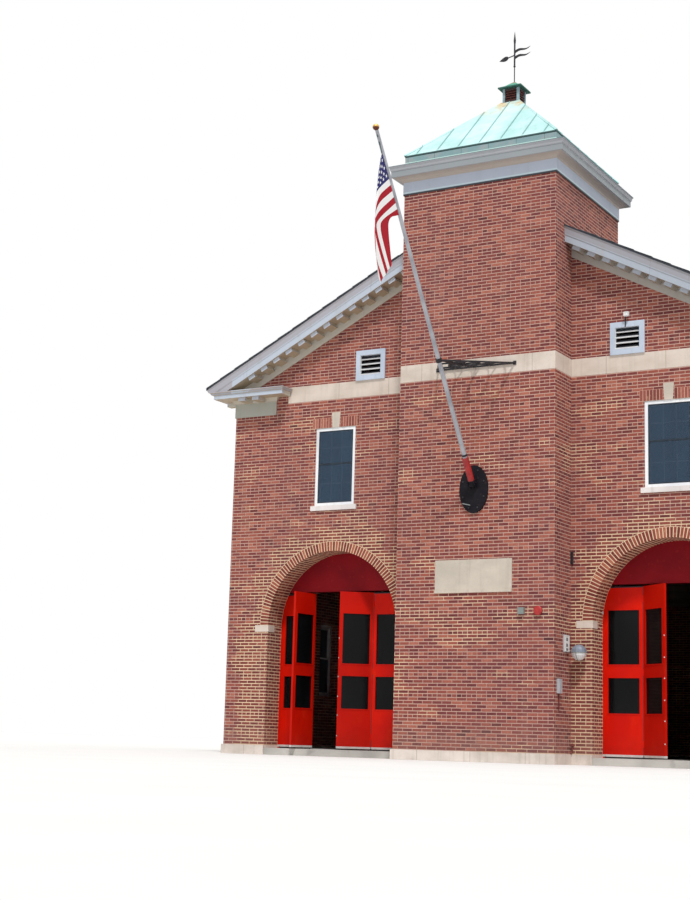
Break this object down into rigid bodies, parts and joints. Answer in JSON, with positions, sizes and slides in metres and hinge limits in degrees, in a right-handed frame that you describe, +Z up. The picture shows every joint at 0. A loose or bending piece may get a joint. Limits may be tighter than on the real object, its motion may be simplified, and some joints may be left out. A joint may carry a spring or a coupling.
{
  "type": "fire station building",
  "caption": "Two-storey red brick fire station with a square copper-roofed tower, arched vehicle bays with red folding doors, a gabled roof and a weathervane that turns.",
  "frame": {"origin": "on the ground, midway along the front, in the face of the gabled front wall", "axes": "+X along the front to the right as seen from the street, +Y into the building, +Z up"},
  "size_m": [13.74, 21.6549, 15.68],
  "materials": {
    "brick": "red-brown face brick in light mortar",
    "arch_brick": "brick voussoirs with yellowish repointing",
    "limestone": "pale beige limestone, rubbed",
    "base_stone": "grey-beige base course",
    "concrete": "floated concrete",
    "slate": "dark split slate",
    "copper": "pale green copper patina",
    "cornice_paint": "off-white painted timber",
    "white_paint": "white painted timber",
    "louvre_paint": "pale blue-white painted timber",
    "vent_paint": "dark brown paint",
    "red_paint": "bright red gloss paint",
    "window_glass": "dark window glass",
    "door_glass": "dark door glass",
    "black_iron": "black painted iron",
    "pole_metal": "satin light grey",
    "sleeve_paint": "red enamel",
    "bell_red": "red enamel",
    "gilt": "gilded",
    "flag_cloth": "woven nylon in stripes",
    "lamp_glass": "opal glass globe",
    "grey_enamel": "grey enamel"
  },
  "bodies": {
    "building": {"alarm_bell": "bell_red", "bay_doors": "red_paint", "bay_piers": "brick", "door_glass": "door_glass", "door_posts": "red_paint", "eave_cornices": "cornice_paint", "flag": "flag_cloth", "flagpole": "pole_metal", "flagpole_brace": "black_iron", "flagpole_plate": "black_iron", "floor_slab": "concrete", "gable_louvres": "louvre_paint", "impost_blocks": "limestone", "keystones": "limestone", "left_arch_ring": "arch_brick", "left_arch_wall": "brick", "left_front_wall": "brick", "left_roof": "slate", "left_wall": "brick", "lunette_panels": "red_paint", "plaque": "limestone", "plinth_rear": "base_stone", "plinth_sides": "base_stone", "plinth_tower": "base_stone", "plinth_wings": "base_stone", "pole_ball": "gilt", "pole_sleeve": "sleeve_paint", "rake_cornices": "cornice_paint", "rear_wall": "brick", "right_arch_ring": "arch_brick", "right_arch_wall": "brick", "right_front_wall": "brick", "right_roof": "slate", "right_wall": "brick", "roof_vent": "vent_paint", "string_course": "limestone", "tower_cornice": "cornice_paint", "tower_front_wall": "brick", "tower_left_wall": "brick", "tower_rear_wall": "brick", "tower_right_wall": "brick", "tower_roof": "copper", "upper_floor": "concrete", "vane_spindle": "black_iron", "vent_cap": "copper", "wall_boxes": "grey_enamel", "wall_lamp": "lamp_glass", "window_frames": "white_paint", "window_glass": "window_glass", "window_sills": "limestone"},
    "vane": {"weathervane": "black_iron"}
  },
  "joints": [
    {"name": "vane_turn", "type": "hinge", "parent": "building", "child": "vane", "pos_m": [0, 0.9065, 15], "axis": [0, 0, 1], "continuous": true}
  ]
}
